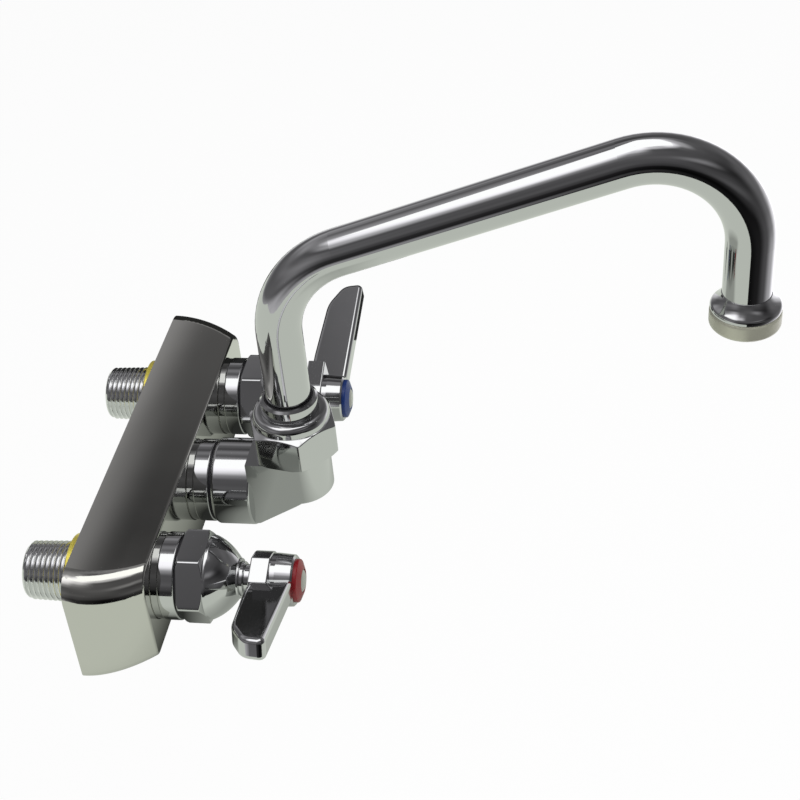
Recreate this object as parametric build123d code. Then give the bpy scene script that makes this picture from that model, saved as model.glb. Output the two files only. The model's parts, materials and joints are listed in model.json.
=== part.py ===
"""Two-handle wall-mount faucet on 4 inch centres with a swivel spout.

Frame, in millimetres: the wall is the plane Y = 0 and the faucet stands out of it towards -Y.
X runs along the body, from the hot valve at -X to the cold valve at +X. +Z is up.
The origin is on the body's back face, midway between the two inlets.
The rest pose has the hot lever out to -X and the cold lever out to +X, each 20 degrees up, and the
spout turned 2.5 degrees to the cold side.
"""
import math
import os

from build123d import *

# ---- Body -----------------------------------------------------------------------------------
INLET_CENTRES = 101.6       # 4 inch centres
BODY_DEPTH = 25.2
BODY_BACK_LENGTH = 160.4
BODY_FRONT_LENGTH = 144.6
BODY_BACK_HEIGHT = 44.0
BODY_FRONT_HEIGHT = 36.0
END_BULGE = 3.0             # how far each end bows out beyond its chord
END_ROLL = 9.0              # radius with which the top face rolls down into each end
BOTTOM_ROUND = 3.0          # and the bottom face
EDGE_ROUND = 1.2
PORT_R = 12.0               # threaded ports in the front face: two valves and the outlet
PORT_DEPTH = 15.2
CROSS_BORE_R = 4.5          # mixing passage that joins the three ports
CROSS_BORE_OFF = 6.2        # its axis in front of the ports' floor
INLET_WAY_R = 6.0

# ---- Inlet shanks, 1/2-14 NPT ---------------------------------------------------------------
THREAD_R = 10.67            # major radius
THREAD_PITCH = 25.4 / 14
THREAD_DEPTH = 1.15
THREAD_CREST = 0.25
THREAD_PITCHES = 8
THREAD_LEAD_IN = 2.0        # tapered start beyond the last crest
SHANK_BORE_R = 7.6
SHANK_PILOT_R = 10.4        # plain length that is screwed and sealed into the body
SHANK_ROOT = 6.0            # how deep it goes
SEAT_RING_R = 13.3
SEAT_RING_H = 6.4           # how far the brass ring stands out of the body's back

# ---- Spacer rings between the body and each bonnet or the elbow ------------------------------
RING_R = 15.1
RING_T = 5.7
WASHER_R = 14.8
WASHER_T = 1.1
SEAL_R = 14.2
SEAL_T = 0.8

# ---- Valve bonnet, cartridge and stem -------------------------------------------------------
HEX_AF = 28.4               # across flats, bonnets and swivel nut
HEX_LEN = 8.8
HEX_TURN = 30.0             # degrees the bonnets' corners stand off vertical: a flat faces up
NOSE_LEN = 10.4             # domed nose beyond the hexagon
SHANK_ENGAGE = 4.2          # how deep bonnets and elbow screw into their ports
CARTRIDGE_R = 9.5
CARTRIDGE_WALL = 1.6
NOSE_WALL = 6.0             # from the cartridge's shoulder to the tip of the bonnet
COLLAR_R = 5.8              # the cartridge's collar, which shows round the stem
COLLAR_PROUD = 1.6
THROAT_LEN = 6.0
WINDOW_H = 7.0              # side windows that let the water out of the cartridge
STEM_R = 4.9
STEM_RUN = 0.05             # running clearance of the stem in its gland
STEM_FOOT_R = 7.0
STEM_FOOT_T = 4.0
DISC_T = 3.0
DISC_GAP = 0.05
DISC_CLEAR = 0.5            # round the moving disc
DISC_PORT_R = 2.2
DISC_PORT_OFF = 3.6
SEAT_T = 1.2                # rubber seat under the cartridge
TANG = (2.6, 1.5, 9.0)      # the stem's tongue in the moving disc

# ---- Lever handle ---------------------------------------------------------------------------
NECK_LEN = 4.6              # bare stem between the bonnet and the handle
HUB_LEN = 14.4
HUB_BACK_R = 9.7
HUB_FRONT_R = 9.2
BOSS_DEPTH = 6.6            # stop block at the back of the hub
# its corners: out along the lever, and to the lever's left as seen from the front
BOSS_CORNERS = ((0, 9.7), (11.2, 9.7), (11.2, -3.8), (4.2, -9.7), (0, -9.7))
LEVER_T = 7.4
LEVER_EDGE_R = 1.6
# the lever's side view: distance out from the valve's axis, distance forward of the hub's back
LEVER_CORNERS = ((0, 0.2), (17, 0.2), (43.2, 2.6), (52.2, 8.0), (53.4, 15.9), (8, 14.6), (0, 14.2))
LEVER_CORNER_RADII = (60, 14, 6, 2.2, 10)
HOT_LEVER_ANGLE = 160.0     # from +X towards +Z
COLD_LEVER_ANGLE = 20.0
SPLINE_R = 4.3
SPLINE_LEN = 8.4
SCREW_R = 2.0
SCREW_LEN = 8.0
SCREW_HEAD_R = 3.8
SCREW_HEAD_H = 2.6
SCREW_HEAD_GAP = 0.6
INDEX_R = 7.4
INDEX_DEPTH = 2.4
INDEX_SIDE = 1.4            # straight side of the ring in front of the hub
INDEX_PROUD = 2.5           # its bevel ends here, at the button
BUTTON_R = 4.0
BUTTON_DOME = 0.5

# ---- Outlet elbow and swivel ----------------------------------------------------------------
BARREL_R = 15.8
BARREL_LEN = 14.5
BARREL_BACK_ROUND = 1.4
RISER_OFF = 30.2            # the riser's axis in front of the barrel's back
BARREL_FRONT_ROUND = 0.8
UNDERSIDE_DROP = 11.0       # the elbow's underside slopes up from here below the barrel's axis
UNDERSIDE_RISE = 0.2        # to its level front, this far above the axis
UNDERSIDE_REACH = 2.5       # the slope ends this far in front of the riser's axis
NECK_TOP_Z = 17.5
NECK_SHOULDER = 0.9
NECK_THREAD_LEN = 9.5
NECK_WALL = 2.2
SOCKET_FLOOR_Z = 3.0
WATERWAY_R = 4.0            # the elbow's water passage
WATERWAY_LIFT = 3.6         # its axis above the barrel's
NUT_H = 17.5
NUT_LIP = 2.3
NUT_CROWN_R = 13.8          # turned crown above the nut's hexagon
NUT_CROWN_H = 4.3
SPLIT_RING_H = 2.4
SPLIT_RING_GAP = 0.4
GLAND_R = 10.2
GLAND_PROUD = 5.0
WIPER_H = 1.2
SWIVEL_RUN = 0.05           # running clearance of the spout in its gland and socket

# ---- Spout ----------------------------------------------------------------------------------
TUBE_R = 8.0
TUBE_WALL = 1.1
SPOUT_REACH = 155.0         # riser axis to outlet axis
SPOUT_SWING = 2.5           # degrees, from -Y towards +X
RISER_H = 50.9              # from the gland's top to where the arm's axis meets the riser's
ARM_RISE = 51.6             # from there up to where it meets the outlet's
OUTLET_DROP = 73.5          # from there down to the outlet's lowest face
BEND_R_RISER = 34.0
BEND_R_OUTLET = 30.7
SLEEVE_WALL = 1.05
SLEEVE_LIFT = 0.5
O_RING_H = 2.4
O_RING_RISES = (5.5, 11.5)  # above the socket's floor
O_RING_SINK = 0.3
TIP_NUT_R = 11.75
TIP_NUT_H = 6.3
TIP_WALL = 1.55
TIP_LIP = (1.4, 0.6)        # width and thickness
AERATOR_T = 1.2
AERATOR_HOLE_R = 0.8
TIP_WASHER_T = 0.8
FLARE_H = 6.2
# radius as a share of the step from tube to nut, and height as a share of the flare's
FLARE = ((0.93, 0), (0.96, 0.1), (0.88, 0.26), (0.64, 0.39), (0.4, 0.53), (0.21, 0.71),
         (0.09, 0.87), (0.03, 1))
# bonnet nose: radius as a share of half HEX_AF, and distance as a share of NOSE_LEN
DOME = ((1.014, 0.087), (0.958, 0.19), (0.887, 0.346), (0.817, 0.51), (0.732, 0.654), (0.634, 0.77),
        (0.545, 0.865), (0.493, 0.93), (0.479, 1))

# ---- Planes that follow from the sizes --------------------------------------------------------
VALVE_X = INLET_CENTRES / 2
FRONT_Y = -BODY_DEPTH
PORT_FLOOR_Y = FRONT_Y + PORT_DEPTH
CROSS_BORE_Y = PORT_FLOOR_Y - CROSS_BORE_OFF
WASHER_Y = FRONT_Y - WASHER_T
RING_Y = WASHER_Y - RING_T
SEAL_Y = RING_Y - SEAL_T    # where the bonnets and the elbow begin
ENGAGE_Y = FRONT_Y + SHANK_ENGAGE
HEX_Y = SEAL_Y - HEX_LEN
NOSE_Y = HEX_Y - NOSE_LEN
SHOULDER_Y = NOSE_Y + NOSE_WALL
COLLAR_Y = NOSE_Y - COLLAR_PROUD
SEAT_Y = PORT_FLOOR_Y - SEAT_T
FIXED_Y = SEAT_Y - DISC_T
MOVING_Y = FIXED_Y - DISC_GAP - DISC_T
HUB_BACK_Y = NOSE_Y - NECK_LEN
BOSS_FRONT_Y = HUB_BACK_Y - BOSS_DEPTH
HUB_FRONT_Y = HUB_BACK_Y - HUB_LEN
INDEX_FLOOR_Y = HUB_FRONT_Y + INDEX_DEPTH
SCREW_SEAT_Y = HUB_BACK_Y - SPLINE_LEN
SCREW_TIP_Y = SCREW_SEAT_Y + SCREW_LEN
THREAD_END_Y = SEAT_RING_H + THREAD_PITCHES * THREAD_PITCH + THREAD_CREST
SHANK_END_Y = THREAD_END_Y + THREAD_LEAD_IN
BARREL_FRONT_Y = SEAL_Y - BARREL_LEN
RISER_Y = SEAL_Y - RISER_OFF
HEX_CORNER = HEX_AF / math.sqrt(3)
SLEEVE_R = TUBE_R + SLEEVE_WALL
SOCKET_R = SLEEVE_R + SWIVEL_RUN
NECK_THREAD_R = SOCKET_R + NECK_WALL
NECK_R = NECK_THREAD_R + NECK_SHOULDER
TUBE_RUN_R = TUBE_R + SWIVEL_RUN
NUT_TOP_Z = NECK_TOP_Z + NUT_H
NECK_RIM_Z = NECK_TOP_Z + NECK_THREAD_LEN
SPLIT_Z = NECK_RIM_Z + SPLIT_RING_GAP
LIP_Z = SPLIT_Z + SPLIT_RING_H + SPLIT_RING_GAP
LIP_TOP_Z = LIP_Z + NUT_LIP
GLAND_TOP_Z = NUT_TOP_Z + GLAND_PROUD
ARM_START_Z = GLAND_TOP_Z + RISER_H
ARM_END_Z = ARM_START_Z + ARM_RISE
TIP_Z = ARM_END_Z - OUTLET_DROP
TIP_RIM_Z = TIP_Z + TIP_NUT_H
TIP_THREAD_R = TIP_NUT_R - TIP_WALL
AERATOR_Z = TIP_Z + TIP_LIP[1]
TUBE_END_Z = AERATOR_Z + AERATOR_T + TIP_WASHER_T


# ---- Helpers ----------------------------------------------------------------------------------
def along_y(radius, y0, y1, x=0.0, z=0.0):
    """Round bar on an axis parallel to Y, between y0 and y1."""
    return Pos(x, (y0 + y1) / 2, z) * Cylinder(radius, abs(y1 - y0), rotation=(90, 0, 0))


def along_z(radius, z0, z1, x=0.0, y=RISER_Y):
    """Round bar on a vertical axis, between z0 and z1."""
    return Pos(x, y, (z0 + z1) / 2) * Cylinder(radius, abs(z1 - z0))


def ring_y(outer, inner, y0, y1, x=0.0):
    return along_y(outer, y0, y1, x) - along_y(inner, y0, y1, x)


def ring_z(outer, inner, z0, z1, x=0.0, y=RISER_Y):
    return along_z(outer, z0, z1, x, y) - along_z(inner, z0, z1, x, y)


def turned_y(profile, x=0.0):
    """Solid turned about an axis parallel to Y; profile is (radius, y) points."""
    face = make_face(Polyline(*[(r, y, 0) for r, y in profile], close=True))
    return Pos(x, 0, 0) * revolve(face, Axis.Y, 360)


def turned_z(profile, x=0.0, y=RISER_Y):
    """Solid turned about a vertical axis; profile is (radius, z) points."""
    face = make_face(Polyline(*[(r, 0, z) for r, z in profile], close=True))
    return Pos(x, y, 0) * revolve(face, Axis.Z, 360)


def round_edges(solid, radius):
    """Circular edges of one radius."""
    return [e for e in solid.edges()
            if e.geom_type == GeomType.CIRCLE and abs(e.radius - radius) < 0.01]


# ---- Body: tapered block with bowed ends, three front ports and a cross passage ---------------
def half_length(t):
    """Half length of the body at a share t of its depth: a circular arc bowed beyond the chord."""
    back, front = BODY_BACK_LENGTH / 2, BODY_FRONT_LENGTH / 2
    chord = math.hypot(back - front, BODY_DEPTH)
    radius = (chord ** 2 / 4 + END_BULGE ** 2) / (2 * END_BULGE)
    off = math.sqrt(radius ** 2 - (chord * (t - 0.5)) ** 2) - (radius - END_BULGE)
    return back + (front - back) * t + off * BODY_DEPTH / chord


def body_section(t):
    """Outline of the body at a share t of its depth, with wide rolls above and small ones below."""
    length = half_length(t)
    height = (BODY_BACK_HEIGHT * (1 - t) + BODY_FRONT_HEIGHT * t) / 2
    right = []
    for radius, side in ((BOTTOM_ROUND, -1), (END_ROLL, 1)):
        bevel = radius * (1 - math.sqrt(0.5))
        arc = [(length - radius, height * side), (length - bevel, (height - bevel) * side),
               (length, (height - radius) * side)]
        right += arc[::-1] if side > 0 else arc
    points = right + [(-x, z) for x, z in reversed(right)]
    v = [Vector(x, -BODY_DEPTH * t, z) for x, z in points]
    edges = []
    for k in range(0, 12, 3):
        edges += [ThreePointArc(v[k], v[k + 1], v[k + 2]).edge(),
                  Line(v[k + 2], v[(k + 3) % 12]).edge()]
    return Face(Wire(edges))


def make_body():
    block = loft([body_section(t) for t in (0, 0.25, 0.5, 0.75, 1)])
    block = fillet([e for e in block.edges() if e.center().Y < FRONT_Y + 0.1], EDGE_ROUND)
    for x in (-VALVE_X, 0, VALVE_X):
        block -= along_y(PORT_R, FRONT_Y - 5, PORT_FLOOR_Y, x)
    block -= Pos(0, CROSS_BORE_Y, 0) * Cylinder(CROSS_BORE_R, 2 * VALVE_X, rotation=(0, 90, 0))
    for x in (-VALVE_X, VALVE_X):
        block -= along_y(INLET_WAY_R, PORT_FLOOR_Y - 2, 5, x)
        block -= along_y(SHANK_PILOT_R, -SHANK_ROOT, 5, x)
    return block


# ---- Inlet shank: tube with thread crests outside the wall face --------------------------------
def make_shank(x):
    root_r = THREAD_R - THREAD_DEPTH
    flank = (THREAD_PITCH - 2 * THREAD_CREST) / 2
    points = [(SHANK_BORE_R, -SHANK_ROOT), (SHANK_PILOT_R, -SHANK_ROOT),
              (SHANK_PILOT_R, SEAT_RING_H)]
    for k in range(THREAD_PITCHES):
        y = SEAT_RING_H + k * THREAD_PITCH
        points += [(THREAD_R, y), (THREAD_R, y + THREAD_CREST), (root_r, y + THREAD_CREST + flank),
                   (root_r, y + 2 * THREAD_CREST + flank)]
    points += [(THREAD_R, THREAD_END_Y - THREAD_CREST), (THREAD_R, THREAD_END_Y),
               (root_r, SHANK_END_Y), (SHANK_BORE_R, SHANK_END_Y)]
    return turned_y(points, x)


def make_seat_ring(x):
    return ring_y(SEAT_RING_R, SHANK_PILOT_R, 0, SEAT_RING_H, x)


# ---- Spacer rings ----------------------------------------------------------------------------
def make_washer(x):
    return ring_y(WASHER_R, PORT_R, WASHER_Y, FRONT_Y, x)


def make_ring(x):
    ring = ring_y(RING_R, PORT_R, RING_Y, WASHER_Y, x)
    return fillet(round_edges(ring, RING_R), 0.5)


def make_seal(x):
    return ring_y(SEAL_R, PORT_R, SEAL_Y, RING_Y, x)


# ---- Bonnet: hexagon with a domed nose and a threaded shank into the body ----------------------
def make_bonnet(x):
    flat = RegularPolygon(HEX_CORNER, 6, rotation=90)
    hexed = Pos(x, SEAL_Y, 0) * Rot(0, -HEX_TURN, 0) * Rot(90, 0, 0) * extrude(flat, HEX_LEN)
    blank = turned_y([(0, SEAL_Y), (HEX_CORNER - 0.8, SEAL_Y), (HEX_CORNER + 0.2, SEAL_Y - 0.9),
                      (HEX_CORNER + 0.2, HEX_Y + 1.1), (HEX_CORNER - 1.5, HEX_Y),
                      (0, HEX_Y)], x)
    nose = [(HEX_AF / 2 * r, HEX_Y - NOSE_LEN * d) for r, d in DOME]
    dome = turned_y([(0, HEX_Y + 1), (nose[0][0], HEX_Y + 1)] + nose + [(0, NOSE_Y)], x)
    bonnet = (hexed & blank) + dome + along_y(PORT_R, SEAL_Y, ENGAGE_Y, x)
    bonnet -= along_y(CARTRIDGE_R, ENGAGE_Y + 5, SHOULDER_Y, x)
    return bonnet - along_y(COLLAR_R, SHOULDER_Y + 1, NOSE_Y - 2, x)


# ---- Cartridge: seat washer, housing, fixed disc, moving disc and stem -------------------------
INNER_R = CARTRIDGE_R - CARTRIDGE_WALL


def make_seat_washer(x):
    return ring_y(CARTRIDGE_R - 0.9, INLET_WAY_R, SEAT_Y, PORT_FLOOR_Y, x)


def make_housing(x):
    throat_r, throat_y = STEM_R + STEM_RUN, SHOULDER_Y + THROAT_LEN
    housing = turned_y([(INNER_R, SEAT_Y), (CARTRIDGE_R, SEAT_Y), (CARTRIDGE_R, SHOULDER_Y),
                        (COLLAR_R, SHOULDER_Y), (COLLAR_R, COLLAR_Y + 0.4),
                        (COLLAR_R - 0.4, COLLAR_Y), (throat_r, COLLAR_Y), (throat_r, throat_y),
                        (INNER_R, throat_y)], x)
    window_back, window_front = FIXED_Y - 0.8, ENGAGE_Y + 0.2
    window = Box(4 * CARTRIDGE_R, window_back - window_front, WINDOW_H)
    return housing - Pos(x, (window_back + window_front) / 2, 0) * window


def make_fixed_disc(x):
    disc = along_y(INNER_R, FIXED_Y, SEAT_Y, x)
    for z in (-DISC_PORT_OFF, DISC_PORT_OFF):
        disc -= along_y(DISC_PORT_R, FIXED_Y, SEAT_Y, x, z)
    return disc


def make_moving_disc(x):
    """Two scallops line up with the fixed disc's ports when the valve is open."""
    radius = INNER_R - DISC_CLEAR
    disc = along_y(radius, MOVING_Y, MOVING_Y + DISC_T, x)
    for side in (-1, 1):
        disc -= along_y(DISC_PORT_R + 1, MOVING_Y, MOVING_Y + DISC_T, x + side * (radius - 1))
    return disc - Pos(x, MOVING_Y + TANG[1] / 2, 0) * Box(*TANG)


def make_stem(x):
    foot_y = MOVING_Y - STEM_FOOT_T
    stem = turned_y([(0, MOVING_Y), (STEM_FOOT_R, MOVING_Y), (STEM_FOOT_R, foot_y),
                     (STEM_R, foot_y - 1), (STEM_R, HUB_BACK_Y), (SPLINE_R, HUB_BACK_Y),
                     (SPLINE_R, SCREW_SEAT_Y), (0, SCREW_SEAT_Y)], x)
    stem += Pos(x, MOVING_Y + TANG[1] / 2, 0) * Box(*TANG)
    return stem - along_y(SCREW_R, SCREW_SEAT_Y - 1, SCREW_TIP_Y, x)


# ---- Lever handle, its screw and its colour index ------------------------------------------------
def make_boss():
    """Stop block at the back of the handle, round at the hub end."""
    mid_y = (HUB_BACK_Y + BOSS_FRONT_Y) / 2
    plan = make_face(Polyline(*[(out, BOSS_FRONT_Y, side) for out, side in BOSS_CORNERS],
                              close=True))
    block = extrude(plan, BOSS_DEPTH, dir=(0, 1, 0))
    block = fillet([e for e in block.edges().filter_by(Axis.Y) if e.center().X > 1], 0.6)
    boss = block + along_y(HUB_BACK_R, HUB_BACK_Y, BOSS_FRONT_Y)
    rims = [e for e in boss.edges() if abs(e.center().Y - mid_y) > BOSS_DEPTH / 2 - 0.01]
    return fillet(rims, 0.5)


def make_lever():
    """Flat fin that lies in the plane of the valve's axis."""
    corners = [(out, HUB_BACK_Y - forward) for out, forward in LEVER_CORNERS]
    rim = FilletPolyline(*corners, radius=LEVER_CORNER_RADII)
    outline = make_face(rim.edges() + Line(corners[-1], corners[0]).edges())
    lever = extrude(outline, LEVER_T / 2, both=True)
    front = [e for e in lever.edges() if abs(abs(e.center().Z) - LEVER_T / 2) < 0.01
             and e.center().X > 4 and e.center().Y < BOSS_FRONT_Y - 0.5]
    return fillet(front, LEVER_EDGE_R)


def make_handle(x, angle):
    hub = turned_y([(0, BOSS_FRONT_Y), (HUB_BACK_R - 0.5, BOSS_FRONT_Y),
                    (HUB_FRONT_R, BOSS_FRONT_Y - 1.8), (HUB_FRONT_R - 0.4, HUB_FRONT_Y + 0.6),
                    (HUB_FRONT_R - 1, HUB_FRONT_Y), (0, HUB_FRONT_Y)])
    handle = make_boss() + hub + make_lever()
    handle -= along_y(SPLINE_R, HUB_BACK_Y + 1, SCREW_SEAT_Y)
    handle -= along_y(INDEX_R, INDEX_FLOOR_Y, HUB_FRONT_Y - 5)
    handle -= along_y(SCREW_HEAD_R + SCREW_HEAD_GAP, SCREW_SEAT_Y, INDEX_FLOOR_Y)
    return Pos(x, 0, 0) * (Rot(0, -angle, 0) * handle)


def make_screw(x):
    head_y = SCREW_SEAT_Y - SCREW_HEAD_H
    head = along_y(SCREW_HEAD_R, SCREW_SEAT_Y, head_y, x)
    head -= Pos(x, head_y, 0) * Box(3 * SCREW_HEAD_R, 2.0, 1.0)
    return head + along_y(SCREW_R, SCREW_SEAT_Y, SCREW_TIP_Y, x)


def make_index_ring(x):
    side_y, bevel_y = HUB_FRONT_Y - INDEX_SIDE, HUB_FRONT_Y - INDEX_PROUD
    return turned_y([(BUTTON_R, INDEX_FLOOR_Y), (INDEX_R, INDEX_FLOOR_Y), (INDEX_R, side_y),
                     (INDEX_R - 0.3, side_y - 0.4), (BUTTON_R, bevel_y)], x)


def make_button(x):
    foot_y, rim_y = INDEX_FLOOR_Y - 0.8, HUB_FRONT_Y - INDEX_PROUD
    dome = [(BUTTON_R * math.cos(a), rim_y - BUTTON_DOME * math.sin(a))
            for a in (math.radians(15 * k) for k in range(6))]
    return turned_y([(0, foot_y), (BUTTON_R, foot_y)] + dome + [(0, rim_y - BUTTON_DOME)], x)


# ---- Outlet elbow, swivel nut and gland ----------------------------------------------------------
def make_nose():
    """Front of the elbow: upright sides tangent to the neck, over an underside that slopes up."""
    back_y, front_y = BARREL_FRONT_Y + 0.5, RISER_Y - NECK_R
    plan = Pos(0, (back_y + RISER_Y) / 2) * Rectangle(2 * NECK_R, back_y - RISER_Y)
    plan += Pos(0, RISER_Y) * Circle(NECK_R)
    walls = Pos(0, 0, -BARREL_R) * extrude(plan, BARREL_R + NECK_TOP_Z)
    far_y, top = front_y - 1, 2 * NECK_TOP_Z
    side = make_face(Polyline((0, back_y, -UNDERSIDE_DROP),
                              (0, RISER_Y - UNDERSIDE_REACH, UNDERSIDE_RISE),
                              (0, far_y, UNDERSIDE_RISE), (0, far_y, top), (0, back_y, top),
                              close=True))
    nose = walls & extrude(side, 2 * NECK_R, both=True)
    upper = Pos(0, RISER_Y, NECK_TOP_Z) * Box(4 * BARREL_R, 6 * BARREL_R, 2 * NECK_TOP_Z)
    return nose & (upper + along_y(BARREL_R - 0.3, back_y + 1, front_y - 1))


def make_elbow():
    barrel = along_y(BARREL_R, SEAL_Y, BARREL_FRONT_Y)
    rims = round_edges(barrel, BARREL_R)
    barrel = fillet([e for e in rims if e.center().Y > SEAL_Y - 1], BARREL_BACK_ROUND)
    rims = round_edges(barrel, BARREL_R)
    barrel = fillet([e for e in rims if e.center().Y < SEAL_Y - 5], BARREL_FRONT_ROUND)
    elbow = barrel + make_nose() + along_z(NECK_THREAD_R, SOCKET_FLOOR_Z, NECK_RIM_Z)
    elbow += along_y(PORT_R, SEAL_Y, ENGAGE_Y)
    elbow -= along_y(WATERWAY_R, ENGAGE_Y + 5, RISER_Y + 2, 0, WATERWAY_LIFT)
    return elbow - along_z(SOCKET_R, SOCKET_FLOOR_Z, NECK_RIM_Z + 1)


def make_swivel_nut():
    """Hexagon with bevelled corners and a turned crown, rounded at its top."""
    flat = RegularPolygon(HEX_CORNER, 6, rotation=19)
    hexed = Pos(0, RISER_Y, NECK_TOP_Z) * extrude(flat, NUT_H)
    wide, top = HEX_CORNER + 0.2, NUT_TOP_Z
    crown_z = top - NUT_CROWN_H
    blank = turned_z([(0, NECK_TOP_Z), (HEX_CORNER - 1.4, NECK_TOP_Z), (wide, NECK_TOP_Z + 1.0),
                      (wide, crown_z - 1.6), (NUT_CROWN_R + 0.3, crown_z), (NUT_CROWN_R, crown_z),
                      (NUT_CROWN_R - 0.2, top - 2.4), (NUT_CROWN_R - 0.7, top - 1.1),
                      (NUT_CROWN_R - 1.4, top - 0.3), (NUT_CROWN_R - 2.0, top), (0, top)])
    nut = (hexed & blank) - along_z(NECK_THREAD_R, NECK_TOP_Z, LIP_Z)
    return nut - along_z(GLAND_R, LIP_Z, top) - along_z(GLAND_R + 1, LIP_TOP_Z, top)


def make_gland():
    """Guide bush that stands up out of the nut; its top holds the wiper."""
    wiper_r, wiper_z = TUBE_R + 0.7, GLAND_TOP_Z - WIPER_H - 0.4
    return turned_z([(TUBE_RUN_R, LIP_Z + 0.7), (GLAND_R, LIP_Z + 0.7),
                     (GLAND_R, GLAND_TOP_Z - 0.8), (GLAND_R - 0.8, GLAND_TOP_Z),
                     (wiper_r, GLAND_TOP_Z), (wiper_r, wiper_z), (TUBE_RUN_R, wiper_z)])


def make_wiper():
    top = GLAND_TOP_Z - 0.4
    return ring_z(TUBE_R + 0.7, TUBE_RUN_R, top - WIPER_H, top)


# ---- Spout: bent tube, swivel foot with O-rings, flared outlet and its nut -----------------------
def spout_corners():
    swing = math.radians(SPOUT_SWING)
    out = Vector(SPOUT_REACH * math.sin(swing), RISER_Y - SPOUT_REACH * math.cos(swing), 0)
    return (Vector(0, RISER_Y, SOCKET_FLOOR_Z + SLEEVE_LIFT), Vector(0, RISER_Y, ARM_START_Z),
            out + Vector(0, 0, ARM_END_Z), out + Vector(0, 0, TUBE_END_Z))


def rounded_path(points, radii):
    """Straight legs joined by tangent arcs of the given radii."""
    legs, start = [], points[0]
    for before, corner, after, radius in zip(points, points[1:], points[2:], radii):
        into, away = (corner - before).normalized(), (after - corner).normalized()
        half = math.radians(into.get_angle(away)) / 2
        first = corner - into * (radius * math.tan(half))
        last = corner + away * (radius * math.tan(half))
        centre = corner + (away - into).normalized() * (radius / math.cos(half))
        mid = centre + (corner - centre).normalized() * radius
        legs += [Line(start, first), ThreePointArc(first, mid, last)]
        start = last
    legs.append(Line(start, points[-1]))
    return Wire([edge for leg in legs for edge in leg.edges()])


def make_tube():
    corners = spout_corners()
    section = Plane(origin=corners[0]) * (Circle(TUBE_R) - Circle(TUBE_R - TUBE_WALL))
    return sweep(section, path=rounded_path(corners, (BEND_R_RISER, BEND_R_OUTLET)))


def make_o_rings():
    rings = []
    for rise in O_RING_RISES:
        z = SOCKET_FLOOR_Z + rise
        rings.append(ring_z(SLEEVE_R, TUBE_R + O_RING_SINK, z, z + O_RING_H))
    return Compound(rings)


def make_sleeve():
    sleeve = ring_z(SLEEVE_R, TUBE_R, SOCKET_FLOOR_Z + SLEEVE_LIFT, SPLIT_Z)
    for rise in O_RING_RISES:
        z = SOCKET_FLOOR_Z + rise
        sleeve -= ring_z(SLEEVE_R + 1, TUBE_R + O_RING_SINK, z, z + O_RING_H)
    return sleeve


def make_split_ring():
    """Slit ring round the tube, held down by the lip of the swivel nut."""
    outer = NECK_THREAD_R - 0.6
    ring = ring_z(outer, TUBE_R, SPLIT_Z, SPLIT_Z + SPLIT_RING_H)
    slit = Box(outer, 1.0, 2 * SPLIT_RING_H)
    return ring - Pos(outer, RISER_Y, SPLIT_Z + SPLIT_RING_H / 2) * slit


OUT = spout_corners()[-1]


def make_flare():
    step = TIP_NUT_R - TUBE_R
    curve = [(TUBE_R + step * r, TIP_RIM_Z + FLARE_H * h) for r, h in FLARE]
    profile = [(TUBE_R, TUBE_END_Z), (TIP_THREAD_R, TUBE_END_Z), (TIP_THREAD_R, TIP_RIM_Z)]
    return turned_z(profile + curve + [(TUBE_R, TIP_RIM_Z + FLARE_H)], OUT.X, OUT.Y)


def make_tip_nut():
    lip_r = TIP_THREAD_R - TIP_LIP[0]
    profile = [(TIP_THREAD_R, TIP_RIM_Z), (TIP_THREAD_R, AERATOR_Z), (lip_r, AERATOR_Z),
               (lip_r, TIP_Z), (TIP_NUT_R - 0.9, TIP_Z), (TIP_NUT_R, TIP_Z + 1.0),
               (TIP_NUT_R, TIP_RIM_Z - 0.4), (TIP_NUT_R - 0.4, TIP_RIM_Z)]
    return turned_z(profile, OUT.X, OUT.Y)


def make_tip_washer():
    return ring_z(TIP_THREAD_R, TUBE_R - TUBE_WALL, AERATOR_Z + AERATOR_T, TUBE_END_Z,
                  OUT.X, OUT.Y)


def make_aerator():
    """Perforated disc: one hole in the middle, then two circles of holes."""
    top = AERATOR_Z + AERATOR_T
    disc = along_z(TIP_THREAD_R, AERATOR_Z, top, OUT.X, OUT.Y)
    for count, share in ((1, 0.0), (6, 0.26), (12, 0.52)):
        for k in range(count):
            angle, pitch_r = 2 * math.pi * k / count, TIP_THREAD_R * share
            disc -= along_z(AERATOR_HOLE_R, AERATOR_Z, top, OUT.X + pitch_r * math.cos(angle),
                            OUT.Y + pitch_r * math.sin(angle))
    return disc


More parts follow.
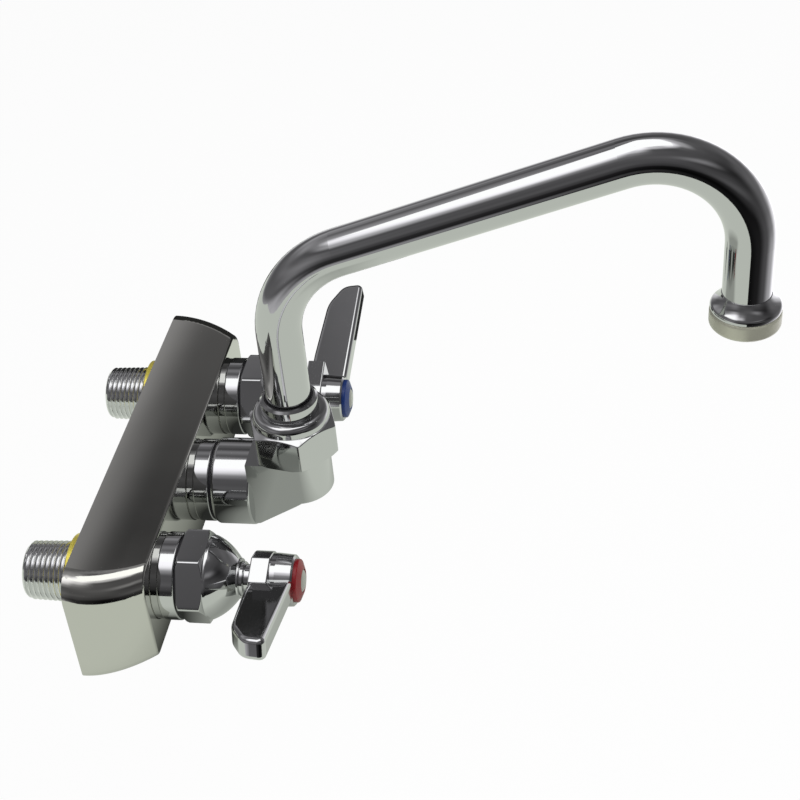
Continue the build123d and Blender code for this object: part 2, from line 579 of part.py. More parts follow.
# ---- Every piece by the name of its file ---------------------------------------------------------
def parts():
    named = {
        "body": make_body(),
        "outlet_washer": make_washer(0),
        "outlet_ring": make_ring(0),
        "outlet_seal": make_seal(0),
        "elbow": make_elbow(),
        "swivel_nut": make_swivel_nut(),
        "gland": make_gland(),
        "wiper": make_wiper(),
        "spout_tube": make_tube(),
        "spout_sleeve": make_sleeve(),
        "spout_o_rings": make_o_rings(),
        "split_ring": make_split_ring(),
        "spout_flare": make_flare(),
        "tip_nut": make_tip_nut(),
        "tip_washer": make_tip_washer(),
        "aerator": make_aerator(),
    }
    for side, x, angle in (("hot", -VALVE_X, HOT_LEVER_ANGLE), ("cold", VALVE_X, COLD_LEVER_ANGLE)):
        named.update({
            f"{side}_shank": make_shank(x),
            f"{side}_seat_ring": make_seat_ring(x),
            f"{side}_washer": make_washer(x),
            f"{side}_ring": make_ring(x),
            f"{side}_seal": make_seal(x),
            f"{side}_bonnet": make_bonnet(x),
            f"{side}_seat_washer": make_seat_washer(x),
            f"{side}_housing": make_housing(x),
            f"{side}_fixed_disc": make_fixed_disc(x),
            f"{side}_moving_disc": make_moving_disc(x),
            f"{side}_stem": make_stem(x),
            f"{side}_handle": make_handle(x, angle),
            f"{side}_screw": make_screw(x),
            f"{side}_index": make_index_ring(x),
            f"{side}_button": make_button(x),
        })
    return named


os.makedirs("parts", exist_ok=True)
for name, solid in parts().items():
    solid.label = name
    export_step(solid, f"parts/{name}.step")
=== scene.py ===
# %% [markdown]
# # A wall-mount mixing faucet in polished chrome
# The model arrives as solids in one fixed frame, in metres: the wall is the plane Y = 0, the faucet
# stands out of it towards -Y, and +Z is up. This notebook dresses those solids. Chrome shows nothing
# of its own, only what stands round it, so the studio matters as much as the metal.
# Pieces with soft curves that a mirror finish would betray are made again as fine numpy surfaces.

# %% Load the frame
import json
import math

import bpy
import numpy as np
from mathutils import Matrix, Vector


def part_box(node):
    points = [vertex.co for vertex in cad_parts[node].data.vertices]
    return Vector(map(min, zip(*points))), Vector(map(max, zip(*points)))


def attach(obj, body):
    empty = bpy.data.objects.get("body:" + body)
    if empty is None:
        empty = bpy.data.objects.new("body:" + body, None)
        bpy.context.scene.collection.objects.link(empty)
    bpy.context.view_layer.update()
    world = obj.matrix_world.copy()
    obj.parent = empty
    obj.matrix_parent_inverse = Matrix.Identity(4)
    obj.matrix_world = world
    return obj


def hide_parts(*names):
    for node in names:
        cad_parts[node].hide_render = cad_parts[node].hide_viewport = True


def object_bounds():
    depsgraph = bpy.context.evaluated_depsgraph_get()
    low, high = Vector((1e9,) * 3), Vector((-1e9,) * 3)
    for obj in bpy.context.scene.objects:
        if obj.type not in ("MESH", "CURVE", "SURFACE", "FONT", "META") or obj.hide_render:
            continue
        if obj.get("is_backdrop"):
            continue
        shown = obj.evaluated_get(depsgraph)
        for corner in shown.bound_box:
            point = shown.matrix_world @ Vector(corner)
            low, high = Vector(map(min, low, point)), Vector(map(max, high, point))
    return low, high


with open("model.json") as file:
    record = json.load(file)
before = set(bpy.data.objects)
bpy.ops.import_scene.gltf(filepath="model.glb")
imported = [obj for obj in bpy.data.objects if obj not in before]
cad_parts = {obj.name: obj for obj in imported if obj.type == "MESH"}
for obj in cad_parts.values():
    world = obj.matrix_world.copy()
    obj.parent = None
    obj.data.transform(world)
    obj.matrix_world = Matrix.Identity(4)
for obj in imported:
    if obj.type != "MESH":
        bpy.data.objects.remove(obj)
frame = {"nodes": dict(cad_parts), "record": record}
nodes = frame["nodes"]
cad_low, cad_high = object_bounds()
print(len(nodes), "CAD nodes, box", [round(v, 4) for v in (*cad_low, *cad_high)])

# %% [markdown]
# Positions are read from the boxes of the solids, so a change of the model moves every piece with it.
# Three axes carry most of it: the two valves, parallel to Y, and the upright swivel of the spout.

# %% Axes and levels
def middle(name):
    """Centre of a CAD node's box."""
    low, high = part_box(name)
    return np.array((low + high) / 2)


VALVE_X = {side: middle(side + "_stem")[0] for side in ("hot", "cold")}
RISER = middle("gland")
OUTLET = middle("tip_nut")
print("hot valve at x", round(VALVE_X["hot"], 4), " riser at y", round(RISER[1], 4),
      " outlet", OUTLET.round(4))

# %% [markdown]
# The camera stands up and to the left of the faucet and looks down along the body, with a lens long
# enough to keep the far valve nearly as large as the near one. It is rolled a little, as a hand-held
# camera is. Its direction is given by turns, and its place is measured from the middle of the body.

# %% Camera
def look(yaw, pitch, roll):
    """Camera axes: forward is turned by yaw from +X and dipped by pitch; right is level, then rolled."""
    f = np.array([math.cos(pitch) * math.cos(yaw), math.cos(pitch) * math.sin(yaw), -math.sin(pitch)])
    r = np.cross(f, [0, 0, 1])
    r /= np.linalg.norm(r)
    u = np.cross(r, f)
    return f, math.cos(roll) * r + math.sin(roll) * u, -math.sin(roll) * r + math.cos(roll) * u


YAW, PITCH, ROLL = 0.190, 0.649, -0.092     # radians
EYE = middle("body") + [-0.42164, -0.17098, 0.36488]
forward, right, up = look(YAW, PITCH, ROLL)
centre = np.array((cad_low + cad_high) / 2)
camera = bpy.data.objects.new("camera", bpy.data.cameras.new("camera"))
bpy.context.scene.collection.objects.link(camera)
camera.data.lens, camera.data.sensor_width = 70.0, 36.0
camera.data.clip_start, camera.data.clip_end = 0.01, 50.0
axes = np.column_stack([right, up, -forward])
camera.matrix_world = Matrix.Translation(Vector(EYE)) @ Matrix(axes.tolist()).to_4x4()
bpy.context.scene.camera = camera
bpy.context.scene.view_settings.view_transform = "Standard"
print("camera at", EYE.round(5), "distance", round(float(np.linalg.norm(EYE - centre)), 3))

# %% [markdown]
# Colours are written the way a paint chart gives them, as sRGB hex, and turned to the linear values
# that light adds up in. One small function adds a node to a material with its settings and links.

# %% Colour and node helpers
def light_of(s):
    """sRGB shares to linear light: below 0.04045 the value over 12.92, above it a 2.4 power curve."""
    return np.where(s <= 0.04045, s / 12.92, ((s + 0.055) / 1.055) ** 2.4)


def linear(code):
    """sRGB hex to linear RGBA."""
    return (*light_of(np.array([int(code[i:i + 2], 16) for i in (1, 3, 5)]) / 255).tolist(), 1.0)


def add(tree, kind, sockets=None, **settings):
    """Adds one node; sockets maps an input to a value, or to the output that feeds it."""
    node = tree.nodes.new(kind)
    for key, value in settings.items():
        setattr(node, key, value)
    for key, value in (sockets or {}).items():
        if isinstance(value, bpy.types.NodeSocket):
            tree.links.new(value, node.inputs[key])
        else:
            node.inputs[key].default_value = value
    return node


def new_material(name):
    """An empty node material with its output."""
    material = bpy.data.materials.new(name)
    material.use_nodes = True
    material.node_tree.nodes.clear()
    return material, material.node_tree, add(material.node_tree, "ShaderNodeOutputMaterial")


print("mid grey #808080 gives back", round(linear("#808080")[0], 3), "of the light")

# %% [markdown]
# A surface is a grid of points worked out as one array. This helper turns the grid to quads, closes it
# in either direction, and lets edges sharper than a set angle stay crisp while the rest is smooth.
# Blender's own Spin could turn such shapes too, but a formula on an array can be read and changed.

# %% Grid to mesh
def skin(name, grid, wrap=(True, True), crisp=40.0):
    """Mesh over an array of points (rows, columns, 3): quads join each point to the next one along both
    directions, and a direction that wraps joins its last line to its first. A grid closed both ways is
    turned so that its faces look outward, which is where the sum of corner products is positive."""
    rows, cols = grid.shape[:2]
    index = np.arange(rows * cols).reshape(rows, cols)
    i = np.arange(rows if wrap[0] else rows - 1)
    j = np.arange(cols if wrap[1] else cols - 1)
    a, b = np.meshgrid(i, j, indexing="ij")
    c, d = (a + 1) % rows, (b + 1) % cols
    quads = np.stack([index[a, b], index[c, b], index[c, d], index[a, d]], -1).reshape(-1, 4)
    if all(wrap):
        p, q, r, t = (grid.reshape(-1, 3) - grid.mean((0, 1)))[quads.T]
        if (np.cross(p, q) * r).sum() + (np.cross(p, r) * t).sum() < 0:
            quads = quads[:, ::-1]
    mesh = bpy.data.meshes.new(name)
    mesh.vertices.add(rows * cols)
    mesh.vertices.foreach_set("co", grid.reshape(-1).astype(np.float32))
    mesh.loops.add(quads.size)
    mesh.loops.foreach_set("vertex_index", quads.reshape(-1).astype(np.int32))
    mesh.polygons.add(len(quads))
    mesh.polygons.foreach_set("loop_start", np.arange(0, quads.size, 4, dtype=np.int32))
    mesh.update(calc_edges=True)
    mesh.validate()
    mesh.polygons.foreach_set("use_smooth", np.ones(len(mesh.polygons), bool))
    mesh.set_sharp_from_angle(angle=math.radians(crisp))
    obj = bpy.data.objects.new(name, mesh)
    bpy.context.scene.collection.objects.link(obj)
    return obj


# %% [markdown]
# ## The studio
# The faucet hangs over a white floor. Strong lamps could make the floor white, but they would wash out
# the faucet. Instead, a ray from the camera, off a mirror or through glass sees floor and world as plain
# white, and the floor keeps a share of its own shading, so the soft shadow stays on it.

# %% Floor and world
def seen_directly(tree):
    """1 where a camera, glossy or transmission ray looks, else 0."""
    path = add(tree, "ShaderNodeLightPath")
    either = add(tree, "ShaderNodeMath", {
        0: path.outputs["Is Camera Ray"], 1: path.outputs["Is Glossy Ray"]}, operation="MAXIMUM")
    return add(tree, "ShaderNodeMath", {
        0: either.outputs[0], 1: path.outputs["Is Transmission Ray"]}, operation="MAXIMUM").outputs[0]


FLOOR_DROP, FLOOR_HALF = 0.35, 4.0
FLOOR_GLOW = 0.92           # share of plain white in the floor, where it is looked at directly
floor_z = cad_low[2] - FLOOR_DROP
u, v = np.meshgrid(np.linspace(-1, 1, 9), np.linspace(-1, 1, 9), indexing="ij")
floor = skin("floor", np.stack([u * FLOOR_HALF, v * FLOOR_HALF, 0 * u + floor_z], -1), (False, False))
floor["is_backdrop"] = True
floor_paint, tree, out = new_material("white seamless paper")
paper = add(tree, "ShaderNodeBsdfDiffuse", {"Color": linear("#F2F2F2")})
glow = add(tree, "ShaderNodeEmission", {"Color": (1, 1, 1, 1), "Strength": 1.0})
share = add(tree, "ShaderNodeMath", {0: seen_directly(tree), 1: FLOOR_GLOW}, operation="MULTIPLY")
both = add(tree, "ShaderNodeMixShader", {0: share.outputs[0], 1: paper.outputs[0], 2: glow.outputs[0]})
tree.links.new(both.outputs[0], out.inputs["Surface"])
floor.data.materials.append(floor_paint)

world = bpy.data.worlds.new("studio")
bpy.context.scene.world = world
world.use_nodes = True
tree = world.node_tree
tree.nodes.clear()
soft_fill = add(tree, "ShaderNodeBackground", {"Color": linear("#FFFFFF"), "Strength": 0.55})
backdrop = add(tree, "ShaderNodeBackground", {"Color": (1, 1, 1, 1), "Strength": 1.0})
mixed = add(tree, "ShaderNodeMixShader", {0: seen_directly(tree), 1: soft_fill.outputs[0],
                                          2: backdrop.outputs[0]})
tree.links.new(mixed.outputs[0], add(tree, "ShaderNodeOutputWorld").inputs["Surface"])
print("floor at z", round(floor_z, 3))

# %% [markdown]
# Chrome needs something dark to reflect, or it looks like grey paint. Product studios hang a tent of
# flags and cards round the piece. This one is a shell that only mirrors see: dark grey walls, a bright
# top, and pale ground. Each row of the plan is a height in degrees, from straight up to straight down,
# and each column a compass direction, from -Y towards +X. Its values are what the chrome shows. A
# ready-made studio panorama would do as well, but a plan this small can be read and changed by hand.

# %% Plan of the shell
COMPASS = np.arange(-165, 180, 30)
HEIGHTS = np.array([90, 75, 65, 55, 45, 35, 25, 15, 5, -5, -15, -25, -35, -90])
PLAN = np.array([
    [250, 250, 250, 250, 250, 250, 250, 250, 250, 250, 250, 250],
    [245, 246, 245, 187, 175, 221, 250, 252, 230, 130, 84, 150],
    [251, 250, 191, 74, 67, 84, 146, 160, 200, 110, 78, 150],
    [247, 247, 122, 76, 70, 71, 75, 83, 117, 115, 106, 130],
    [120, 158, 91, 74, 70, 64, 66, 77, 66, 52, 84, 118],
    [74, 71, 75, 81, 115, 49, 60, 79, 70, 74, 118, 130],
    [82, 99, 70, 73, 52, 35, 78, 87, 77, 116, 140, 102],
    [100, 112, 77, 65, 61, 44, 88, 81, 100, 88, 77, 87],
    [83, 103, 60, 52, 74, 55, 89, 101, 150, 125, 76, 78],
    [86, 77, 36, 12, 41, 60, 96, 170, 206, 175, 121, 83],
    [174, 153, 33, 6, 19, 67, 114, 211, 239, 202, 188, 153],
    [177, 176, 142, 16, 26, 71, 152, 234, 247, 226, 232, 177],
    [170, 170, 120, 10, 26, 50, 152, 234, 240, 220, 200, 175],
    [120, 120, 100, 60, 60, 80, 120, 160, 170, 160, 140, 120]]) / 255
CHROME_SHARE = 0.55         # chrome gives back this much of what it mirrors
glow_plan = light_of(PLAN) / CHROME_SHARE


def plan_glow(az, el):
    """Brightness towards a compass direction and height: the plan, blended between its rows and columns
    by the smooth step 3t^2 - 2t^3."""
    col = ((az - COMPASS[0]) / 30) % 12
    row = np.interp(el, HEIGHTS[::-1], np.arange(len(HEIGHTS))[::-1])
    c0, r0 = np.floor(col).astype(int), np.minimum(np.floor(row).astype(int), len(HEIGHTS) - 2)
    s, t = col - c0, row - r0
    s, t = s * s * (3 - 2 * s), t * t * (3 - 2 * t)
    c0, c1 = c0 % 12, (c0 + 1) % 12
    top = glow_plan[r0, c0] * (1 - s) + glow_plan[r0, c1] * s
    low = glow_plan[r0 + 1, c0] * (1 - s) + glow_plan[r0 + 1, c1] * s
    return top * (1 - t) + low * t


print("plan of", PLAN.shape[0], "heights by", PLAN.shape[1], "directions, glow up to",
      round(float(glow_plan.max()), 2))

# %% [markdown]
# The shell is a ball about the faucet whose lower half is cut off just above the floor. Its points
# carry the plan as a colour, with a faint purple cast, and an emission shader shows that colour. Being
# seen by mirrors alone, it neither lights the floor nor shades it.

# %% Shell
SHELL_R, FLOOR_CLEAR = 1.3, 0.02
SHELL_CAST = (1.0, 0.98, 1.02)


def paint_points(obj, colours):
    """Stores a linear colour at each point of a card."""
    attribute = obj.data.color_attributes.new("card", "FLOAT_COLOR", "POINT")
    attribute.data.foreach_set("color", np.column_stack([colours, np.ones(len(colours))]).reshape(-1))


def only_mirrored(obj):
    """A card that mirrors see, and that neither the camera, the shadows nor plain surfaces do."""
    obj.visible_camera = obj.visible_diffuse = obj.visible_shadow = False
    obj.visible_transmission = obj.visible_volume_scatter = False
    obj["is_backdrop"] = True


el_steps = np.radians(np.linspace(-89.9, 89.9, 121))
az_steps = np.radians(np.linspace(-180, 180, 181)[:-1])
el, az = np.meshgrid(el_steps, az_steps, indexing="ij")
way = np.stack([np.cos(el) * np.sin(az), -np.cos(el) * np.cos(az), np.sin(el)], -1)
reach = np.minimum(SHELL_R, (centre[2] - floor_z - FLOOR_CLEAR) / np.maximum(-way[..., 2], 1e-3))
shell = skin("studio_shell", centre + reach[..., None] * way, (False, True), 180)
level = plan_glow(np.degrees(az), np.degrees(el)).reshape(-1)
paint_points(shell, level[:, None] * np.array(SHELL_CAST))
shell_cloth, tree, out = new_material("studio cards")
card = add(tree, "ShaderNodeAttribute", attribute_name="card")
light = add(tree, "ShaderNodeEmission", {"Color": card.outputs["Color"], "Strength": 1.0})
tree.links.new(light.outputs[0], out.inputs["Surface"])
shell.data.materials.append(shell_cloth)
only_mirrored(shell)
for each in (shell_cloth, floor_paint):
    each.cycles.emission_sampling = "NONE"
print("shell of", len(shell.data.vertices), "points, glow", round(float(level.min()), 3), "to",
      round(float(level.max()), 2))

# %% [markdown]
# The lower half of every pipe mirrors what lies under it: a pale green-grey table, just below the
# faucet, which ends close by, so that the dark room beyond draws the dark band along the spout. The far
# shell can't do this, because only a near thing shifts in the mirror from one end of a pipe to the
# other. The faucet keeps light off the table, most of all right under the body.

# %% Table card
TABLE_LOW, TABLE_HIGH, TABLE_DROP = (-0.205, -0.222), (0.45, 0.45), 0.004
TABLE_COLOUR = "#AFB3AB"
SHADE_INSET = 0.018         # the shaded strips stop this far inside the body's ends
TABLE_POINTS, CROWDED = 81, 1.5     # points along a side, crowded towards the corner by this power
table_z = cad_low[2] - TABLE_DROP
body_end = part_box("body")[1][0]
side_way = np.linspace(0, 1, TABLE_POINTS) ** CROWDED
u, v = np.meshgrid(side_way, side_way, indexing="ij")
x = TABLE_LOW[0] + u * (TABLE_HIGH[0] - TABLE_LOW[0])
y = TABLE_LOW[1] + v * (TABLE_HIGH[1] - TABLE_LOW[1])
table = skin("table_card", np.stack([x, y, 0 * x + table_z], -1), (False, False), 180)


def shade(y_low, y_high, margin, darkest):
    """Darkest under the body's length, between two distances from the wall, and 1 beyond the margin:
    darkest + (1 - darkest) times the distance outside that strip over the margin."""
    out_x = np.maximum(np.abs(x) - (body_end - SHADE_INSET), 0)
    out_y = np.maximum(np.maximum(y_low - y, y - y_high), 0)
    return darkest + (1 - darkest) * np.clip(np.hypot(out_x, out_y) / margin, 0, 1)


dimmed = shade(-0.030, -0.004, 0.009, 0.08) * shade(-0.075, -0.01, 0.03, 0.56)
paint_points(table, dimmed.reshape(-1, 1) * np.array(linear(TABLE_COLOUR)[:3]) / CHROME_SHARE)
table.data.materials.append(shell_cloth)
only_mirrored(table)
print("table at z", round(table_z, 4), "shaded down to", round(float(dimmed.min()), 3))

# %% [markdown]
# A small black flag stands past the cold end of the body, level with the valves. The levers and the
# hexagons that face that way turn dark in it, which sets them off from the white floor.

# %% Black flag
FLAG_GAP, FLAG_SPAN, FLAG_TOP, FLAG_GLOW = 0.045, (-0.09, 0.03), 0.05, 0.03
flag_y, flag_z = np.meshgrid(FLAG_SPAN, [table_z, FLAG_TOP], indexing="ij")
flag = skin("dark_flag", np.stack([0 * flag_y + body_end + FLAG_GAP, flag_y, flag_z], -1),
            (False, False), 180)
paint_points(flag, np.full((4, 3), FLAG_GLOW))
flag.data.materials.append(shell_cloth)
only_mirrored(flag)
print("flag at x", round(body_end + FLAG_GAP, 4))

# %% [markdown]
# The ceiling card is the bright streak along the spout. A lamp could stand there, but a card can have
# any outline. It is given by how far the corners lean from straight up, as sideways over upwards.

# %% Ceiling card
LEAN = np.array([(0, .70), (-.33, .56), (-.44, .26), (-.27, 0), (-.15, -.09), (-.12, -.2), (0, -.42),
                 (.22, -.39), (.44, -.26), (.53, 0), (.32, .18), (.18, .32)])
CARD_HEIGHT, CARD_GLOW = 0.45, 1.78
rim = np.column_stack([LEAN * CARD_HEIGHT, np.full(len(LEAN), CARD_HEIGHT)])
rings = np.stack([rim * np.array([k, k, 1]) for k in (0.02, 0.5, 1.0)]) + centre
ceiling = skin("ceiling_card", rings, (False, True), 180)
ceiling_cloth, tree, out = new_material("ceiling softbox")
light = add(tree, "ShaderNodeEmission", {"Color": linear("#FFFFFF"), "Strength": CARD_GLOW})
tree.links.new(light.outputs[0], out.inputs["Surface"])
ceiling.data.materials.append(ceiling_cloth)
ceiling_cloth.cycles.emission_sampling = "NONE"
only_mirrored(ceiling)
print("ceiling card", CARD_HEIGHT, "m above the middle, glow", CARD_GLOW)

# %% [markdown]
# Plastic, rubber and bare metal parts take their light from three large soft lamps. Mirrors don't see
# these lamps, because the cards stand for them.

# %% Lamps
def lamp(name, place, size, power):
    """A square soft lamp that faces the middle of the object."""
    data = bpy.data.lights.new(name, "AREA")
    data.size, data.energy = size, power
    obj = bpy.data.objects.new(name, data)
    bpy.context.scene.collection.objects.link(obj)
    obj.location = Vector(centre) + Vector(place)
    obj.rotation_euler = (-Vector(place)).to_track_quat("-Z", "Y").to_euler()
    obj.visible_glossy = False
    print(name, "lamp of", power, "W,", size, "m wide")


lamp("key", (-0.5, -0.6, 1.1), 0.9, 9)
lamp("fill", (-1.1, 0.3, 0.5), 0.8, 3)
lamp("back", (0.9, -0.5, 0.8), 0.8, 4)

# %% [markdown]
# ## Finishes
# Chrome plate is a thin, hard, bluish-white mirror over polished brass. The mirror is never perfect:
# casting and buffing leave a slow waviness, one to four centimetres long, which bends straight edges in
# it. Wiping leaves hair-fine scratches and a thin film that only show as slightly wider highlights.
# Roughness alone would blur everything alike, so a slow bump carries the waves and noise the film.
# Drawn tube is the smoothest, cut threads are hazy, and the outlet nut's satin plate scatters most.

# %% Chrome
SCRATCH_MM, FILM_MM = 1.2, 9.0          # scratches are drawn this coarse so that they show
SCRATCH_SHARE = 0.3
NOISE_LOW, NOISE_HIGH = 0.35, 0.65      # where most of a noise's values lie


def chrome(name, code="#C4C5C5", haze=(0.03, 0.09), wave_mm=14.0, wave_height=0.000012, metal=1.0):
    """Metal mirror: noise of two real sizes drives the haze, and a slow noise bends the mirror."""
    material, tree, out = new_material(name)
    place = add(tree, "ShaderNodeTexCoord").outputs["Object"]
    slow = add(tree, "ShaderNodeTexNoise", {"Vector": place, "Scale": 1000 / wave_mm, "Detail": 1.5})
    fine = add(tree, "ShaderNodeTexNoise", {"Vector": place, "Scale": 1000 / SCRATCH_MM, "Detail": 4.0})
    film = add(tree, "ShaderNodeTexNoise", {"Vector": place, "Scale": 1000 / FILM_MM, "Detail": 3.0})
    blend = add(tree, "ShaderNodeMix", {
        0: SCRATCH_SHARE, 2: film.outputs["Fac"], 3: fine.outputs["Fac"]})
    rough = add(tree, "ShaderNodeMapRange", {
        "Value": blend.outputs[0], "From Min": NOISE_LOW, "From Max": NOISE_HIGH,
        "To Min": haze[0], "To Max": haze[1]})
    bend = add(tree, "ShaderNodeBump", {"Strength": 1.0, "Distance": wave_height,
                                        "Height": slow.outputs["Fac"]})
    plate = add(tree, "ShaderNodeBsdfPrincipled", {
        "Base Color": linear(code), "Metallic": metal, "Roughness": rough.outputs[0],
        "Normal": bend.outputs[0]})
    tree.links.new(plate.outputs[0], out.inputs["Surface"])
    return material


cast_chrome = chrome("polished chrome on cast brass", wave_height=0.00003)
body_chrome = chrome("polished chrome on the cast body", "#C5C5BF", wave_mm=45.0, wave_height=0.00022)
drawn_chrome = chrome("polished chrome on drawn tube", haze=(0.02, 0.05), wave_mm=40.0,
                      wave_height=0.00002)
turned_chrome = chrome("polished chrome on turned brass", haze=(0.03, 0.08))
thread_chrome = chrome("chrome over cut threads", "#DCDDDD", haze=(0.05, 0.12), wave_mm=3.0,
                       wave_height=0.00001)
satin_chrome = chrome("satin plate on the outlet nut", "#B4B4A4", haze=(0.30, 0.44), metal=0.5)
print("chrome finishes made")

# %% [markdown]
# Buffing wears an edge round before it wears a face down. The body's top falls away towards its back
# edge by about two millimetres, which shows as a paler strip. Only the mirror tells of it, so a bump
# draws it and the solid stays as it is. The height that drives the bump is the square of the way from
# a line along the top to that edge, and only faces that look up have it.

# %% Buffed back edge
BUFFED_WIDE, BUFFED_FALL, LOOKS_UP = 0.018, 0.0022, 0.9
tree = body_chrome.node_tree
plate = next(n for n in tree.nodes if n.type == "BSDF_PRINCIPLED")
wave = plate.inputs["Normal"].links[0].from_node
across = add(tree, "ShaderNodeSeparateXYZ", {0: add(tree, "ShaderNodeTexCoord").outputs["Object"]})
back_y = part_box("body")[1][1]
past = add(tree, "ShaderNodeMapRange", {
    "Value": across.outputs["Y"], "From Min": back_y - BUFFED_WIDE, "From Max": back_y})
square = add(tree, "ShaderNodeMath", {0: past.outputs[0], 1: past.outputs[0]}, operation="MULTIPLY")
normal = add(tree, "ShaderNodeNewGeometry").outputs["True Normal"]
upward = add(tree, "ShaderNodeSeparateXYZ", {0: normal})
top = add(tree, "ShaderNodeMath", {0: upward.outputs["Z"], 1: LOOKS_UP}, operation="GREATER_THAN")
fall = add(tree, "ShaderNodeMath", {0: square.outputs[0], 1: top.outputs[0]}, operation="MULTIPLY")
round_off = add(tree, "ShaderNodeBump", {"Strength": 1.0, "Distance": -BUFFED_FALL,
                                         "Height": fall.outputs[0], "Normal": wave.outputs[0]})
tree.links.new(round_off.outputs[0], plate.inputs["Normal"])
print("back edge of the body buffed over", BUFFED_WIDE, "m")

# %% [markdown]
# Turned brass is left bare where the wall hides it, on the seat rings, and inside the valves. A lathe
# leaves fine rings round it, too fine to be cut in the mesh, so a wave texture draws them. Air leaves a
# tarnish that comes and goes and is no metal, so the seat rings are only part mirror. The stainless
# screws are made the same way.

# %% Turned metal
TARNISH_MM = 6.0
RING_MM = math.pi / 2       # tool marks are drawn this coarse so that they show
WAVE_RATE = 20              # a wave texture's phase in radians is this times scale and place


def turned_metal(name, code, dark, rough, metal_share=1.0):
    """Bare turned metal: fine rings along Y, and a tarnish that comes and goes over some millimetres."""
    material, tree, out = new_material(name)
    place = add(tree, "ShaderNodeTexCoord").outputs["Object"]
    rings = add(tree, "ShaderNodeTexWave", {"Vector": place, "Distortion": 0.4,
                                            "Scale": 2 * math.pi * 1000 / RING_MM / WAVE_RATE},
                bands_direction="Y")
    film = add(tree, "ShaderNodeTexNoise", {"Vector": place, "Scale": 1000 / TARNISH_MM, "Detail": 4.0})
    paint = add(tree, "ShaderNodeMix", {0: film.outputs["Fac"], 6: linear(code), 7: linear(dark)},
                data_type="RGBA")
    width = add(tree, "ShaderNodeMapRange", {"Value": film.outputs["Fac"], "To Min": rough - 0.06,
                                             "To Max": rough + 0.08})
    cut = add(tree, "ShaderNodeBump", {"Strength": 0.6, "Distance": 0.00001,
                                       "Height": rings.outputs["Fac"]})
    metal = add(tree, "ShaderNodeBsdfPrincipled", {
        "Base Color": paint.outputs[2], "Metallic": metal_share, "Roughness": width.outputs[0],
        "Normal": cut.outputs[0]})
    tree.links.new(metal.outputs[0], out.inputs["Surface"])
    return material


bare_brass = turned_metal("turned bare brass", "#F2E56E", "#E2CF52", 0.34, metal_share=0.6)
machined_brass = turned_metal("machined brass", "#CDB068", "#A98C48", 0.25)
screw_steel = turned_metal("stainless screw", "#B9BABB", "#8E8F90", 0.28)
print("bare metals made")

# %% [markdown]
# Washers and O-rings are black rubber, dull and slightly dusty. The colour rings and buttons are small
# mouldings, whose smooth skin lies over a faint unevenness, and the discs are ground ceramic. The clear
# buttons lie right on a grey back, so they are drawn as that grey under a clear coat.

# %% Rubber, plastic, ceramic
DRIFT_MM = 5.0              # the colour's two shades change over about this length


def moulded(name, code, dark, rough, grit_mm, grit_height, coat=0.0):
    """Moulded skin: the colour drifts between two shades, and a grit of real size roughens it."""
    material, tree, out = new_material(name)
    place = add(tree, "ShaderNodeTexCoord").outputs["Object"]
    drift = add(tree, "ShaderNodeTexNoise", {"Vector": place, "Scale": 1000 / DRIFT_MM, "Detail": 3.0})
    grit = add(tree, "ShaderNodeTexNoise", {"Vector": place, "Scale": 1000 / grit_mm, "Detail": 2.0})
    paint = add(tree, "ShaderNodeMix", {0: drift.outputs["Fac"], 6: linear(code), 7: linear(dark)},
                data_type="RGBA")
    width = add(tree, "ShaderNodeMapRange", {"Value": grit.outputs["Fac"], "To Min": rough - 0.08,
                                             "To Max": rough + 0.08})
    bumps = add(tree, "ShaderNodeBump", {"Strength": 0.5, "Distance": grit_height,
                                         "Height": grit.outputs["Fac"]})
    skin_shader = add(tree, "ShaderNodeBsdfPrincipled", {
        "Base Color": paint.outputs[2], "Roughness": width.outputs[0], "Normal": bumps.outputs[0],
        "Coat Weight": coat})
    tree.links.new(skin_shader.outputs[0], out.inputs["Surface"])
    return material


rubber = moulded("moulded black rubber", "#1B1A1D", "#242327", 0.62, 0.4, 0.00002)
ceramic = moulded("lapped ceramic", "#EDEAE0", "#E2DFD4", 0.18, 0.3, 0.000002)
white_plastic = moulded("moulded white plastic", "#D9D9D4", "#CFCFC8", 0.42, 0.5, 0.00001)
red_plastic = moulded("red moulded plastic", "#820F18", "#6B0B13", 0.36, 0.5, 0.00001)
blue_plastic = moulded("blue moulded plastic", "#123274", "#0E2860", 0.36, 0.5, 0.00001)
clear_plastic = moulded("clear plastic over a grey back", "#8F9086", "#7D7F76", 0.12, 0.8, 0.000005,
                        coat=0.6)
print("mouldings made")

# %% [markdown]
# Each solid takes the finish of the real piece it stands for, by the record's material slot.

# %% Dress the solids
BY_SLOT = {"chrome": cast_chrome, "plated_thread": thread_chrome, "raw_brass": bare_brass,
           "machined_brass": machined_brass, "satin_steel": screw_steel, "rubber": rubber,
           "ceramic": ceramic, "white_plastic": white_plastic, "red_plastic": red_plastic,
           "blue_plastic": blue_plastic, "clear_plastic": clear_plastic}
SLOT_OF = {s["node"]: s["material_slot"] for s in frame["record"]["subparts"]}
for name, obj in nodes.items():
    obj.data.materials.clear()
    obj.data.materials.append(BY_SLOT[SLOT_OF[name]])
for name in ("hot_ring", "cold_ring", "outlet_ring", "gland", "hot_stem", "cold_stem"):
    nodes[name].data.materials[0] = turned_chrome
nodes["spout_tube"].data.materials[0] = drawn_chrome
nodes["body"].data.materials[0] = body_chrome
nodes["tip_nut"].data.materials[0] = satin_chrome
print("dressed", len(nodes), "solids")

# %% [markdown]
# ## Turned pieces
# A mirror shows every facet, so the pieces that meet the eye are turned again as fine grids. A profile
# of radius and height has its corners eased by small curves and is carried round an axis. Hexagons are
# the turned blank cut by six flats, which leaves the curved bevels that a real nut has.

